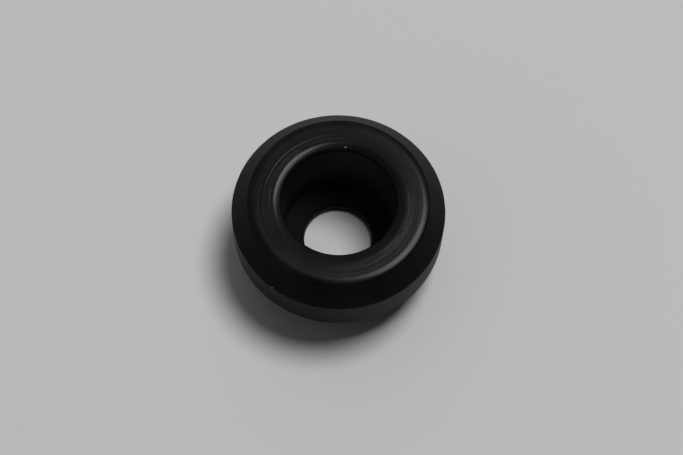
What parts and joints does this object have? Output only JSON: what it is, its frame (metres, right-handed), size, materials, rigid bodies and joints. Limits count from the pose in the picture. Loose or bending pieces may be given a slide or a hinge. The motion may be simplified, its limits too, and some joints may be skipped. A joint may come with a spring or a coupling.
{
  "type": "rubber grommet",
  "caption": "Round black moulded rubber grommet: heavy chamfered flange with a rounded mouth, panel groove, tapered foot and a central bore for a peg or cable.",
  "frame": {"origin": "centre of the bore on the foot's lower face", "axes": "+Z along the bore axis, from the foot up to the flange's mouth; the part is round, so +X and +Y are free"},
  "size_m": [0.025, 0.025, 0.0116],
  "materials": {
    "rubber": "satin moulded black rubber with faint turning marks from the mould"
  },
  "bodies": {
    "root": {"grommet": "rubber"}
  },
  "joints": []
}
